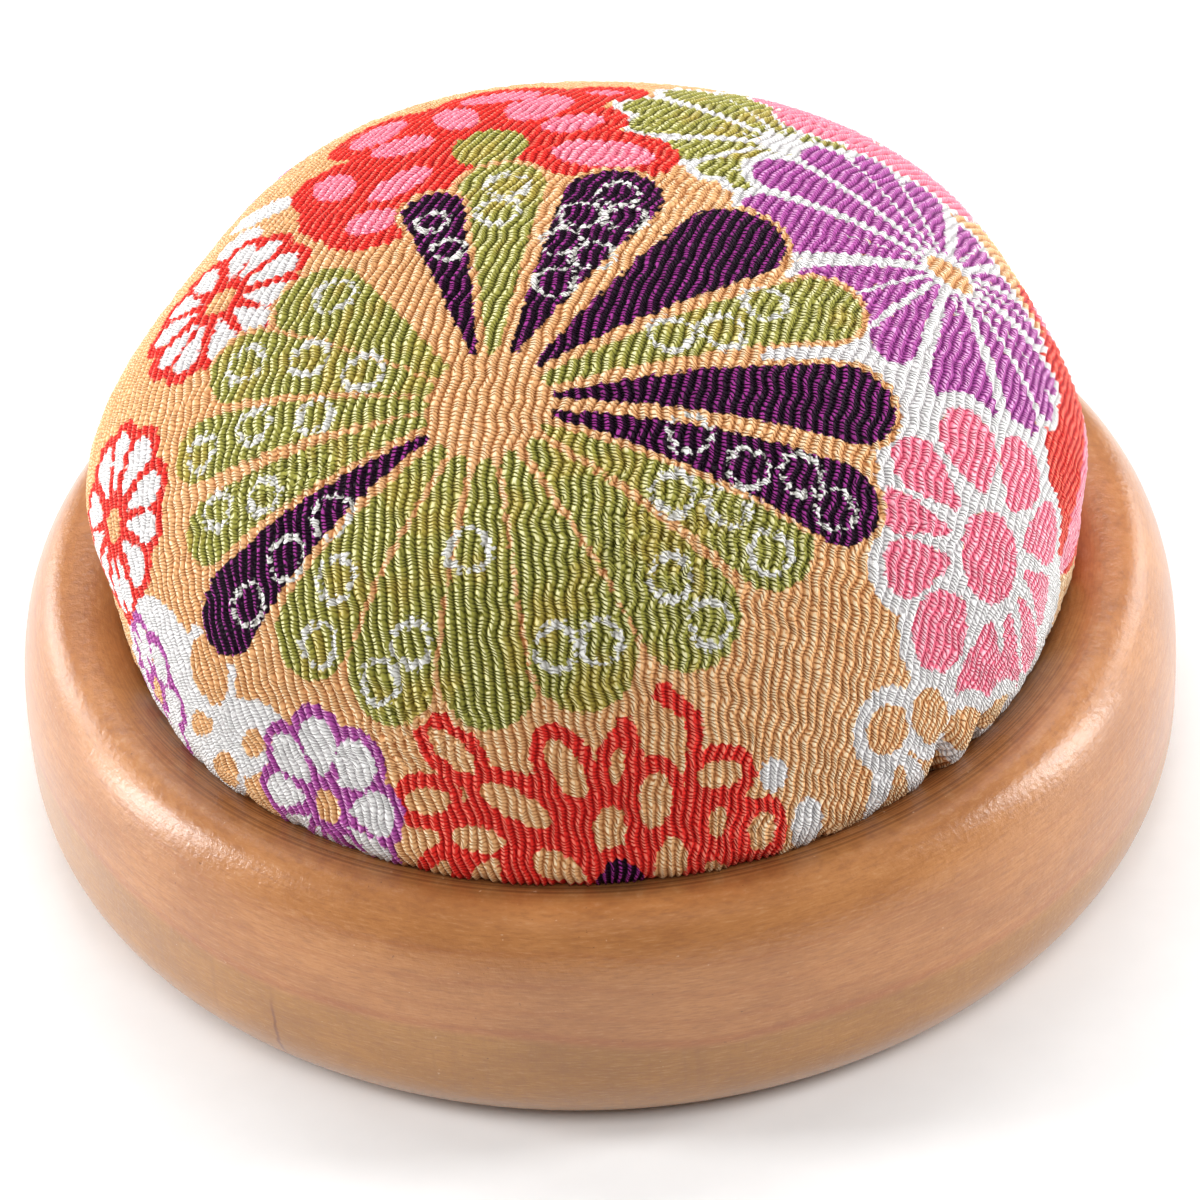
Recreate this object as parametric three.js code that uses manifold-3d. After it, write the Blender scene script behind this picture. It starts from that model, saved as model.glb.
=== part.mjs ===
// A pin cushion: a stuffed dome of printed crepe seated in a turned wooden dish.
// Millimetres, +Z up. The origin is the centre of the flat underside.
import * as THREE from "three";
import { mergeVertices } from "three/addons/utils/BufferGeometryUtils.js";
import Module from "manifold-3d";

const wasm = await Module();
wasm.setup();

// Driving dimensions of the turned dish.
const BASE_DIAMETER = 85;
const BASE_HEIGHT = 18.4; // underside to the crest of the rim
const WIDEST_HEIGHT = 6; // height at which the dish has its full diameter
const FOOT_ROUND = 4.5; // how far the underside's edge is rounded in
const RIM_HALF_WIDTH = 5; // full radius to the crest of the rim
const RIM_POWER = 2.7; // above 2 the rim's shoulder is squarer than an ellipse
const SEAT_RADIUS = 33.4; // wall of the recess that the cushion is glued into
const LIP_DROP = 3; // how far the inner lip rolls down from the crest
const FLOOR_THICKNESS = 6;
const FLOOR_FILLET = 1.2;

// Driving dimensions of the cushion.
const TOTAL_HEIGHT = 47.6; // underside of the dish to the top of the dome
const CUSHION_RADIUS = 36.6; // where it bulges out over the rim
const BULGE_HEIGHT = 21.5;
const DOME_POWER = 2.35;
const NECK_RADIUS = 32.9; // the part that goes down into the recess
const NECK_TOP = 14.4;
const NECK_CORNER = 2.2;
const SWELL_START = 3.5; // how far above the neck the side starts to swell
const SWELL_END = 2.7; // how far below the bulge it stands upright again
const CLOTH = 0.6; // crepe, its raised ribs counted in
const MOUTH_RADIUS = 10; // drawn edge of the cover under the card

// Small parts below the cushion.
const GAP = 0.35; // clearance between neighbouring solids
const GLUE_RADIUS = 20;
const GLUE_WIDTH = 7;
const GLUE_HEIGHT = 1.2;
const CARD_RADIUS = 31;
const CARD_THICKNESS = 1.5;
const CARD_BEVEL = 0.25;
const THREAD_RADIUS = 0.3;
const STITCH_COUNT = 15;
const STITCH_WAVE = 0.08;
const KNOT_RADIUS = 0.6;
const TAIL_LENGTH = 3;
const TAIL_SPREAD = 0.9; // how far each tail swings to its side
const TAIL_LIFT = 0.05; // its rise halfway along
const TAIL_DROP = 0.1; // its sag at the tip

const COVER_BOTTOM = FLOOR_THICKNESS + GAP + GLUE_HEIGHT + GAP;
const CARD_BOTTOM = COVER_BOTTOM + CLOTH + GAP;
const STUFFING_BOTTOM = CARD_BOTTOM + CARD_THICKNESS + GAP;
const THREAD_RING = MOUTH_RADIUS - THREAD_RADIUS - GAP - STITCH_WAVE;
const THREAD_HEIGHT = COVER_BOTTOM + CLOTH / 2;

const wood = new THREE.MeshStandardMaterial({ color: 0xd3a67c, roughness: 0.42, metalness: 0 });
const crepe = new THREE.MeshStandardMaterial({ color: 0xe0a868, roughness: 0.7, metalness: 0 });
const fibre = new THREE.MeshStandardMaterial({ color: 0xf1efe8, roughness: 0.95, metalness: 0 });
const card = new THREE.MeshStandardMaterial({ color: 0xb59a72, roughness: 0.9, metalness: 0 });
const thread = new THREE.MeshStandardMaterial({ color: 0xf3efe4, roughness: 0.6, metalness: 0 });
const glue = new THREE.MeshStandardMaterial({ color: 0xe9dfc0, roughness: 0.3, metalness: 0 });

const point = (radius, height) => new THREE.Vector2(radius, height);

// A quarter of a superellipse about (centreRadius, centreHeight), from its side to its top.
function quarterSuperellipse(centreRadius, centreHeight, halfWidth, rise, power, steps) {
  const points = [];
  for (let i = 0; i <= steps; i++) {
    const angle = (i / steps) * (Math.PI / 2);
    const across = Math.cos(angle) ** (2 / power);
    const up = Math.sin(angle) ** (2 / power);
    points.push(point(centreRadius + halfWidth * (i < steps ? across : 0), centreHeight + rise * up));
  }
  return points;
}

// A profile is (radius, height) points; turning it about the Z axis makes the body.
function turned(name, profile, material, segments) {
  const geometry = new THREE.LatheGeometry(profile, segments);
  geometry.rotateX(Math.PI / 2);
  const mesh = new THREE.Mesh(geometry, material);
  mesh.name = name;
  return mesh;
}

// The dish: flat underside, rounded foot, full bullnose rim, inner lip and blind recess.
function woodBase() {
  const outer = BASE_DIAMETER / 2;
  const crest = outer - RIM_HALF_WIDTH;
  const foot = quarterSuperellipse(outer - FOOT_ROUND, WIDEST_HEIGHT, FOOT_ROUND, -WIDEST_HEIGHT, 2, 5);
  const rise = BASE_HEIGHT - WIDEST_HEIGHT;
  const shoulder = quarterSuperellipse(crest, WIDEST_HEIGHT, RIM_HALF_WIDTH, rise, RIM_POWER, 9);
  const lipCentre = BASE_HEIGHT - LIP_DROP;
  const lip = quarterSuperellipse(crest, lipCentre, SEAT_RADIUS - crest, LIP_DROP, 2, 6);
  const fillet = new THREE.Path();
  fillet.moveTo(SEAT_RADIUS, FLOOR_THICKNESS + FLOOR_FILLET);
  fillet.quadraticCurveTo(SEAT_RADIUS, FLOOR_THICKNESS, SEAT_RADIUS - FLOOR_FILLET, FLOOR_THICKNESS);
  const profile = [
    point(0, 0),
    ...foot.reverse(),
    ...shoulder.slice(1),
    ...lip.reverse().slice(1),
    ...fillet.getPoints(3),
    point(0, FLOOR_THICKNESS),
  ];
  return turned("wood_base", profile, wood, 72);
}

// Side of the cushion from the neck's foot to the top of the dome, set in by an inset.
function cushionSide(inset, bottom) {
  const neck = NECK_RADIUS - inset;
  const bulge = CUSHION_RADIUS - inset;
  const side = new THREE.Path();
  side.moveTo(neck - NECK_CORNER, bottom);
  side.quadraticCurveTo(neck, bottom, neck, bottom + NECK_CORNER);
  side.lineTo(neck, NECK_TOP);
  side.bezierCurveTo(neck, NECK_TOP + SWELL_START, bulge, BULGE_HEIGHT - SWELL_END, bulge, BULGE_HEIGHT);
  const rise = TOTAL_HEIGHT - inset - BULGE_HEIGHT;
  const dome = quarterSuperellipse(0, BULGE_HEIGHT, bulge, rise, DOME_POWER, 11);
  return [...side.getPoints(4), ...dome.slice(1)];
}

// The cover: one layer of crepe round the dome, turned in under the card to a drawn mouth.
function cushionCover() {
  const outside = cushionSide(0, COVER_BOTTOM);
  const inside = cushionSide(CLOTH, COVER_BOTTOM + CLOTH);
  const profile = [
    ...inside.reverse(),
    point(MOUTH_RADIUS, COVER_BOTTOM + CLOTH),
    point(MOUTH_RADIUS, COVER_BOTTOM),
    ...outside,
  ];
  return turned("cushion_cover", profile, crepe, 54);
}

// The filling: packed fibre from the card up to the cover.
function stuffingCore() {
  const side = cushionSide(CLOTH + GAP, STUFFING_BOTTOM);
  return turned("stuffing_core", [point(0, STUFFING_BOTTOM), ...side], fibre, 48);
}

// The stiff card that the cover is drawn round, so that the underside stays flat.
function backingDisc() {
  const top = CARD_BOTTOM + CARD_THICKNESS;
  const profile = [
    point(0, CARD_BOTTOM),
    point(CARD_RADIUS - CARD_BEVEL, CARD_BOTTOM),
    point(CARD_RADIUS, CARD_BOTTOM + CARD_BEVEL),
    point(CARD_RADIUS, top - CARD_BEVEL),
    point(CARD_RADIUS - CARD_BEVEL, top),
    point(0, top),
  ];
  return turned("backing_disc", profile, card, 60);
}

// The ring of hot-melt glue between the recess floor and the underside of the cushion.
function glueBead() {
  const bottom = FLOOR_THICKNESS + GAP;
  const half = GLUE_WIDTH / 2;
  const profile = [point(GLUE_RADIUS - half, bottom), point(GLUE_RADIUS + half, bottom)];
  for (let i = 1; i < 8; i++) {
    const angle = (i / 8) * Math.PI;
    profile.push(point(GLUE_RADIUS + half * Math.cos(angle), bottom + GLUE_HEIGHT * Math.sin(angle)));
  }
  profile.push(profile[0].clone());
  return turned("glue_bead", profile, glue, 48);
}

// A closed geometry as a solid that can be joined to another.
function solid(geometry) {
  const bare = geometry.index ? geometry.toNonIndexed() : geometry.clone();
  bare.deleteAttribute("normal");
  bare.deleteAttribute("uv");
  const merged = mergeVertices(bare, 1e-4);
  return new wasm.Manifold(
    new wasm.Mesh({
      numProp: 3,
      vertProperties: merged.attributes.position.array,
      triVerts: new Uint32Array(merged.index.array),
    }),
  );
}

// The drawn running stitch: a ring that rises and dips with each stitch, its knot and two tails.
function gatheringThread() {
  const ring = new THREE.TorusGeometry(THREAD_RING, THREAD_RADIUS, 6, 4 * STITCH_COUNT);
  const position = ring.attributes.position;
  for (let i = 0; i < position.count; i++) {
    const turn = Math.atan2(position.getY(i), position.getX(i));
    position.setZ(i, position.getZ(i) + STITCH_WAVE * Math.sin(STITCH_COUNT * turn));
  }
  const knot = new THREE.SphereGeometry(KNOT_RADIUS, 12, 8);
  const knotAt = THREAD_RING - KNOT_RADIUS / 2;
  knot.translate(knotAt, 0, 0);
  let whole = solid(ring).add(solid(knot));
  for (const side of [-1, 1]) {
    const curve = new THREE.CatmullRomCurve3([
      new THREE.Vector3(knotAt, 0, 0),
      new THREE.Vector3(knotAt - TAIL_LENGTH / 2, side * TAIL_SPREAD, TAIL_LIFT),
      new THREE.Vector3(knotAt - TAIL_LENGTH, side * TAIL_SPREAD, -TAIL_DROP),
    ]);
    const section = new THREE.Shape();
    section.absarc(0, 0, THREAD_RADIUS, 0, 2 * Math.PI);
    const tail = new THREE.ExtrudeGeometry(section, { steps: 8, curveSegments: 4, extrudePath: curve });
    whole = whole.add(solid(tail));
  }
  const made = whole.getMesh();
  const geometry = new THREE.BufferGeometry();
  geometry.setAttribute("position", new THREE.BufferAttribute(made.vertProperties, made.numProp));
  geometry.setIndex(new THREE.BufferAttribute(made.triVerts, 1));
  geometry.computeVertexNormals();
  const mesh = new THREE.Mesh(geometry, thread);
  mesh.name = "gathering_thread";
  mesh.position.z = THREAD_HEIGHT;
  return mesh;
}

const cushion = new THREE.Group();
cushion.add(cushionCover(), stuffingCore(), backingDisc(), gatheringThread());

const pinCushion = new THREE.Group();
pinCushion.add(woodBase(), glueBead(), cushion);

export default pinCushion;
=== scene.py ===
"""A pin cushion: a stuffed dome of printed crepe in a turned wooden dish, on a pale table."""

import math

import bpy
import numpy as np
from mathutils import Matrix, Vector


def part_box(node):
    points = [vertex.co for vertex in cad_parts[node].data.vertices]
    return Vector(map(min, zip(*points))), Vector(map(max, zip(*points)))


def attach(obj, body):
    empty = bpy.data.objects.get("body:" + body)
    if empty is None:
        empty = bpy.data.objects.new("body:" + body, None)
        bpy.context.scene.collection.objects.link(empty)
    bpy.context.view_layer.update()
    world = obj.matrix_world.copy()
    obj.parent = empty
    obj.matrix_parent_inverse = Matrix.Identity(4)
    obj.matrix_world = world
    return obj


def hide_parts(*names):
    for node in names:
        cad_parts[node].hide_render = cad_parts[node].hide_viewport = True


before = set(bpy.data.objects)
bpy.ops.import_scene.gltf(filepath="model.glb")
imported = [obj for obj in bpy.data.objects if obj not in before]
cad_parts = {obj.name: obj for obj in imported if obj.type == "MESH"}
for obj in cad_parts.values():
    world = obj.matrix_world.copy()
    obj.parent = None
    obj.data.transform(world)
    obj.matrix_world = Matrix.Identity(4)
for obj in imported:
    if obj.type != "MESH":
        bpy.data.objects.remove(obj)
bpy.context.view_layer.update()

MM = 0.001
TURN = 2 * math.pi
ON_AXIS = 1e-6  # a radius below this counts as a point on the axis


def box_mm(node):
    """A CAD node's lowest and highest corners in millimetres."""
    low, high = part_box(node)
    return np.array(low) / MM, np.array(high) / MM


COVER_LOW, COVER_HIGH = box_mm("cushion_cover")
WOOD_LOW, WOOD_HIGH = box_mm("wood_base")
STUFFING_BASE = box_mm("stuffing_core")[0][2]

# ---- sizes, in millimetres
DISH_RADIUS = WOOD_HIGH[0]
CREST_HEIGHT = WOOD_HIGH[2]
WIDEST_HEIGHT = 6.0
FOOT_ROUND = 4.5
RIM_HALF_WIDTH = 5.0
RIM_POWER = 2.7
SEAT_RADIUS = 33.4
LIP_DROP = 3.0
FLOOR_HEIGHT = 6.0
HAIRLINE_BEARING = 2.15  # a drying check in the wood, this far clockwise from +X, in radians

BULGE_RADIUS = COVER_HIGH[0]
DOME_TOP = COVER_HIGH[2]
COVER_BOTTOM = COVER_LOW[2]
BULGE_HEIGHT = 21.5
DOME_POWER = 2.35
NECK_RADIUS = 32.9
MOUTH_RADIUS = 10.0
CLOTH = 0.6

RIB_PITCH = 0.80  # from one crepe rib to the next
RIB_HEIGHT = 0.24
ROW_STEP = 0.24  # between the grid's rows, along a rib
TWIST_PITCH = 0.29  # from one twist of the weft to the next, along a rib
TWIST_HEIGHT = 0.05
COLUMN_PHASES = (0.0, 0.25, 0.5, 0.75)  # valley, flank, crest, flank
COLUMN_RELIEF = (0.0, 0.62, 1.0, 0.55)


# ---- helpers
RIPPLE_WAVES = 5


def ripple(x, y, seed):
    """A smooth wandering field between about -1 and 1 with features about 6 units across."""
    rng = np.random.default_rng(seed)
    total = np.zeros_like(x)
    for _ in range(RIPPLE_WAVES):
        angle = rng.uniform(0, TURN)
        wave = rng.uniform(0.6, 1.5)
        total += np.sin(wave * (x * math.cos(angle) + y * math.sin(angle)) + rng.uniform(0, TURN))
    return total / math.sqrt(2 * RIPPLE_WAVES)


def scatter(x, y, seed):
    """A repeatable value from 0 to 1 for each pair of whole numbers."""
    return np.modf(np.abs(np.sin(x * 12.9898 + y * 78.233 + seed * 37.719) * 43758.5453))[0]


def smooth(low, high, x):
    """0 below low, 1 above high, and a soft step between them."""
    t = np.clip((x - low) / (high - low), 0, 1)
    return t * t * (3 - 2 * t)


def bezier(p0, p1, p2, p3, steps):
    """Points on a cubic curve, its first point left out."""
    t = np.linspace(0, 1, steps + 1)[1:, None]
    p0, p1, p2, p3 = (np.array(p, float) for p in (p0, p1, p2, p3))
    return (1 - t) ** 3 * p0 + 3 * (1 - t) ** 2 * t * p1 + 3 * (1 - t) * t**2 * p2 + t**3 * p3


def quarter(centre, half_width, rise, power, steps):
    """A quarter of a superellipse from its side to its top, as (radius, height) points."""
    angle = np.linspace(0, math.pi / 2, steps + 1)
    across = np.cos(angle) ** (2 / power)
    across[-1] = 0
    return np.stack([centre[0] + half_width * across, centre[1] + rise * np.sin(angle) ** (2 / power)], 1)


class Profile:
    """A turned outline as (radius, height) points, read by its length along the outline."""

    def __init__(self, points):
        self.points = np.asarray(points, float)
        step = np.hypot(*np.diff(self.points, axis=0).T)
        self.length = np.concatenate([[0], np.cumsum(step)])
        self.slope = np.gradient(self.points, self.length, axis=0)

    def at(self, length):
        """Radius, height, and the outward normal's radial and upward parts."""
        radius, height = (np.interp(length, self.length, self.points[:, k]) for k in (0, 1))
        along, down = (np.interp(length, self.length, self.slope[:, k]) for k in (0, 1))
        size = np.hypot(along, down)
        return radius, height, -down / size, along / size


def mesh_object(name, vertices, faces):
    """A smooth-shaded mesh object from millimetre vertices, riding on the root body."""
    mesh = bpy.data.meshes.new(name)
    mesh.from_pydata((np.asarray(vertices) * MM).tolist(), [], faces)
    mesh.update()
    mesh.polygons.foreach_set("use_smooth", [True] * len(mesh.polygons))
    piece = bpy.data.objects.new(name, mesh)
    bpy.context.scene.collection.objects.link(piece)
    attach(piece, "root")
    return piece


def around(segments):
    """Evenly spaced angles round a turn."""
    return np.arange(segments) / segments * TURN


def lathe(points, segments):
    """Vertices and faces of a turned body; a point on the axis becomes one vertex."""
    vertices, rings = [], []
    for radius, height in points:
        start = len(vertices)
        if radius < ON_AXIS:
            vertices.append((0, 0, height))
            rings.append([start])
        else:
            vertices += [(radius * math.cos(a), radius * math.sin(a), height) for a in around(segments)]
            rings.append(list(range(start, start + segments)))
    faces = []
    for low, high in zip(rings, rings[1:]):
        for i in range(segments):
            j = (i + 1) % segments
            if len(low) == 1:
                faces.append((low[0], high[j], high[i]))
            elif len(high) == 1:
                faces.append((low[i], low[j], high[0]))
            else:
                faces.append((low[i], low[j], high[j], high[i]))
    return vertices, faces


def zip_loops(outer, inner, outer_angles, inner_angles):
    """Triangles between two closed loops that run the same way round, by their angles."""
    faces, i, j = [], 0, 0
    turn_outer = np.append(outer_angles, outer_angles[0] + TURN)
    turn_inner = np.append(inner_angles, inner_angles[0] + TURN)
    while i < len(outer) or j < len(inner):
        step_outer = j >= len(inner) or (i < len(outer) and turn_outer[i + 1] <= turn_inner[j + 1])
        a, b = outer[i % len(outer)], inner[j % len(inner)]
        if step_outer:
            faces.append((a, b, outer[(i + 1) % len(outer)]))
            i += 1
        else:
            faces.append((a, b, inner[(j + 1) % len(inner)]))
            j += 1
    return faces


# ---- node materials
class Nodes:
    """A material's node tree, with short calls for the nodes that the materials share."""

    def __init__(self, name):
        self.material = bpy.data.materials.new(name)
        self.material.use_nodes = True
        self.tree = self.material.node_tree
        self.shader = self.tree.nodes["Principled BSDF"]

    def node(self, kind, inputs=None, **settings):
        node = self.tree.nodes.new(kind)
        for key, value in settings.items():
            setattr(node, key, value)
        for key, value in (inputs or {}).items():
            self.put(node.inputs[key], value)
        return node

    def put(self, socket, value):
        if isinstance(value, bpy.types.NodeSocket):
            self.tree.links.new(value, socket)
        else:
            socket.default_value = value

    def set(self, **values):
        for key, value in values.items():
            self.put(self.shader.inputs[key.replace("_", " ")], value)

    def math(self, operation, a, b=0.0):
        return self.node("ShaderNodeMath", {0: a, 1: b}, operation=operation).outputs[0]

    def plus(self, a, b):
        return self.math("ADD", a, b)

    def minus(self, a, b):
        return self.math("SUBTRACT", a, b)

    def times(self, a, b):
        return self.math("MULTIPLY", a, b)

    def ramp(self, value, low, high, out_low=0.0, out_high=1.0):
        node = self.node(
            "ShaderNodeMapRange",
            {0: value, 1: low, 2: high, 3: out_low, 4: out_high},
            interpolation_type="SMOOTHSTEP",
        )
        return node.outputs[0]

    def mix(self, factor, a, b):
        node = self.node("ShaderNodeMix", data_type="RGBA")
        self.put(node.inputs[0], factor)
        self.put(node.inputs[6], a)
        self.put(node.inputs[7], b)
        return node.outputs[2]

    def noise(self, vector, scale, detail=2.0, roughness=0.5):
        inputs = {"Vector": vector, "Scale": scale, "Detail": detail, "Roughness": roughness}
        return self.node("ShaderNodeTexNoise", inputs).outputs["Fac"]

    def attribute(self, name):
        return self.node("ShaderNodeAttribute", attribute_name=name)

    def position_mm(self):
        """The point's place in the object, in millimetres."""
        coordinates = self.node("ShaderNodeTexCoord").outputs["Object"]
        scaled = self.node("ShaderNodeVectorMath", {0: coordinates}, operation="SCALE")
        scaled.inputs["Scale"].default_value = 1 / MM
        return scaled.outputs[0]

    def stretch(self, vector, factors):
        node = self.node("ShaderNodeVectorMath", {0: vector, 1: factors}, operation="MULTIPLY")
        return node.outputs[0]

    def split(self, vector):
        return self.node("ShaderNodeSeparateXYZ", {0: vector}).outputs

    def bump(self, height, strength, distance_mm):
        inputs = {"Height": height, "Strength": strength, "Distance": distance_mm * MM}
        return self.node("ShaderNodeBump", inputs).outputs[0]


def srgb(red, green, blue):
    """A linear colour from screen values of 0 to 255."""
    linear = [((c / 255 + 0.055) / 1.055) ** 2.4 if c > 10 else c / 255 / 12.92 for c in (red, green, blue)]
    return (*linear, 1.0)


# ---- the cloth's outline
DOME_STEPS, TUCK_STEPS, UNDER_POINTS = 300, 40, 12


def cover_outline():
    """The cushion's outside from the top of the dome down to the drawn mouth below the card."""
    dome = quarter((0, BULGE_HEIGHT), BULGE_RADIUS, DOME_TOP - BULGE_HEIGHT, DOME_POWER, DOME_STEPS)[::-1]
    tuck = bezier(
        (BULGE_RADIUS, BULGE_HEIGHT),
        (BULGE_RADIUS, CREST_HEIGHT + 1.4),
        (SEAT_RADIUS + 1.5, CREST_HEIGHT - 0.4),
        (SEAT_RADIUS - 0.1, CREST_HEIGHT - LIP_DROP + 0.6),
        TUCK_STEPS,
    )
    neck = [(NECK_RADIUS, CREST_HEIGHT - LIP_DROP - 1), (NECK_RADIUS, COVER_BOTTOM + 2.2)]
    corner = bezier(neck[1], (NECK_RADIUS, COVER_BOTTOM + 0.7), (NECK_RADIUS - 0.7, COVER_BOTTOM),
                    (NECK_RADIUS - 2.2, COVER_BOTTOM), 8)
    under = [(r, COVER_BOTTOM) for r in np.linspace(NECK_RADIUS - 3, MOUTH_RADIUS, UNDER_POINTS)]
    return Profile(np.concatenate([dome, tuck, neck, corner, under]))


OUTLINE = cover_outline()


def length_at(height):
    """How far along the cushion's outline a height is."""
    return float(np.interp(-height, -OUTLINE.points[:, 1], OUTLINE.length))


# lengths along the outline, from the top of the dome
BULGE_AT = length_at(BULGE_HEIGHT)
CONTACT_AT = length_at(CREST_HEIGHT - 0.9)  # where the cloth meets the dish's lip
DENSE_END = length_at(CREST_HEIGHT - LIP_DROP + 0.3)  # where the ribbed grid ends, below the lip
UNDER_AT = float(OUTLINE.length[-UNDER_POINTS])  # where the flat underside starts


# ---- the print, in flat-cloth millimetres
DYES = ("white", "green", "pink", "red", "orchid", "aubergine")  # each dye hides those before it
FAR = 1.0  # distances are kept only this far from an edge
OVERLAP = 0.28  # how far a dye runs on under those that hide it, so that no ground shows between


def cosine(degrees):
    return math.cos(math.radians(degrees))


def sine(degrees):
    return math.sin(math.radians(degrees))


def along_and_across(dx, dy, degrees):
    """A place in a frame whose first axis points degrees from +x."""
    cos, sin = cosine(degrees), sine(degrees)
    return dx * cos + dy * sin, -dx * sin + dy * cos


def polar(centre, degrees, distance, sideways=0):
    """The place at a distance from the centre in one direction, and sideways to its left."""
    cos, sin = cosine(degrees), sine(degrees)
    return centre[0] + distance * cos - sideways * sin, centre[1] + distance * sin + sideways * cos


class Print:
    """The cloth's dyes as signed distances; what is painted later covers what was there."""

    def __init__(self, x, y):
        self.x, self.y = x.ravel(), y.ravel()
        self.fields = np.full((len(DYES), self.x.size), FAR)
        self.rings = np.full(self.x.size, FAR)

    def near(self, centre, reach):
        """The points within reach of centre, and their places from it."""
        dx, dy = self.x - centre[0], self.y - centre[1]
        points = np.flatnonzero(dx * dx + dy * dy < reach * reach)
        return points, dx[points], dy[points]

    def paint(self, dye, points, distance):
        """Lays a shape of one dye, or of the bare ground for None."""
        level = -1 if dye is None else DYES.index(dye)
        distance = np.clip(distance, -FAR, FAR)
        before = self.fields[:, points]
        after = np.maximum(before, -distance)
        if dye is not None:
            hidden = before[level + 1:].min(0, initial=FAR) < 0
            after[:level] = np.maximum(before[:level], -distance - OVERLAP)
            after[level] = np.minimum(before[level], distance - OVERLAP * hidden)
        self.fields[:, points] = after
        self.rings[points] = np.maximum(self.rings[points], -distance)

    def spot(self, dye, centre, half_x, half_y=None, degrees=0, grow=0.0):
        """An ellipse."""
        half_x, half_y = half_x + grow, (half_x if half_y is None else half_y) + grow
        points, dx, dy = self.near(centre, max(half_x, half_y) + FAR)
        along, across = along_and_across(dx, dy, degrees)
        size = np.maximum(np.hypot(along / half_x, across / half_y), 1e-3)
        self.paint(dye, points, (1 - 1 / size) * np.hypot(along, across))

    def spots(self, dye, ellipses, centre=(0, 0), turn=0, grow=0.0):
        """Ellipses of one dye, each as its place from the centre, its half sizes and its tilt."""
        for x, y, half_x, half_y, tilt in ellipses:
            self.spot(dye, polar(centre, turn, x, y), half_x, half_y, tilt + turn, grow)

    def petal(self, dye, base, degrees, length, base_radius, tip_radius):
        """A teardrop that widens from its base to a round tip."""
        points, dx, dy = self.near(base, length + base_radius + FAR)
        along, across = along_and_across(dx, dy, degrees)
        across = np.abs(across)
        span = max(length - tip_radius, 1e-3)
        slope = min((tip_radius - base_radius) / span, 0.98)
        flank = math.sqrt(1 - slope * slope)
        side = along * flank + across * slope
        body = across * flank - along * slope - base_radius
        base_round = np.hypot(along, across) - base_radius
        tip_round = np.hypot(along - span, across) - tip_radius
        distance = np.where(side < 0, base_round, np.where(side > span * flank, tip_round, body))
        self.paint(dye, points, distance)

    def ring(self, centre, radius, width, lopsided):
        """A white ring of uneven line, like one left by a tied dot."""
        points, dx, dy = self.near(centre, radius + width + FAR)
        angle = np.arctan2(dy, dx)
        uneven = radius * (1 + 0.05 * np.sin(3 * angle + lopsided * 7))
        line = width * (1 + 0.4 * np.sin(2 * angle + lopsided * 11))
        self.rings[points] = np.minimum(self.rings[points], np.abs(np.hypot(dx, dy) - uneven) - line / 2)


def great_chrysanthemum(cloth, centre, turn=0, scale=1.0):
    """The large open flower: green and aubergine petals parted by the ground, with white rings."""
    petals = (  # degrees, length, tip radius, dye, ring marks as (distance, sideways)
        (20, 27.3, 2.9, "green", ((13.5, 0.4), (16.9, -0.5), (20.7, 1.2))),
        (85.6, 24.9, 3.1, "green", ((22.0, -0.4), (18.8, 0.1))),
        (131.8, 20.3, 3.3, "green", ((16.3, -0.9),)),
        (151.7, 22.3, 3.0, "green", ((19.4, -0.1), (14.2, -0.8), (9.6, -0.3))),
        (169.6, 24.0, 2.5, "green", ((21.6, 0.2), (17.0, -0.5), (12.2, -0.1))),
        (186.5, 24.0, 2.4, "green", ((20.5, -0.9), (16.6, 0.3))),
        (221.2, 22.6, 3.2, "green", ((19.7, 0.9), (15.4, -0.4))),
        (242.1, 22.9, 3.5, "green", ((17.0, 1.0), (20.1, -0.8))),
        (264.5, 22.4, 3.7, "green", ((10.4, -1.0),)),
        (286.5, 22.6, 3.9, "green", ((17.6, -1.7), (18.4, 1.4))),
        (309.5, 24.0, 3.7, "green", ((17.6, 0.6), (21.6, 0.9))),
        (330.5, 24.6, 3.1, "green", ((14.2, -0.6), (17.8, 0.7), (21.8, -0.5))),
        (1, 27.8, 3.1, "aubergine", ()),
        (40, 26.1, 3.8, "aubergine", ()),
        (64.5, 25, 3.5, "aubergine",
         ((22.1, -0.2), (18.9, 1.3), (19.6, -1.8), (15.7, 1.2), (15.0, -1.4), (11.6, 0))),
        (99, 22.3, 2.2, "aubergine", ((18.8, 0.3), (15.2, -0.3))),
        (202.2, 26.1, 3.0, "aubergine", ((21.4, 0.9), (17.0, 0.9), (12.7, 0.8))),
        (343.4, 27.7, 2.9, "aubergine", ((13.7, 0.8), (18.1, -0.4), (21.6, 0.7), (24.6, -0.6))),
    )
    start = 4.4 * scale
    for degrees, length, tip, _, _ in petals:
        base = polar(centre, degrees + turn, start)
        cloth.petal(None, base, degrees + turn, length * scale - start + 0.5, 0.9, tip * scale + 0.45)
    for degrees, length, tip, dye, rings in petals:
        base = polar(centre, degrees + turn, start + 0.3)
        cloth.petal(None, base, degrees + turn, length * scale - start + 0.1, 0.9, tip * scale + 0.35)
        width = 0.3 if dye == "aubergine" else 0.62
        cloth.petal(dye, base, degrees + turn, length * scale - start - 0.3, width, tip * scale)
        for distance, sideways in rings:
            mark = polar(centre, degrees + turn, distance * scale, sideways)
            thin = 0.34 if dye == "aubergine" else 0.46
            cloth.ring(mark, min(1.42, tip * 0.5), thin, distance)


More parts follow.
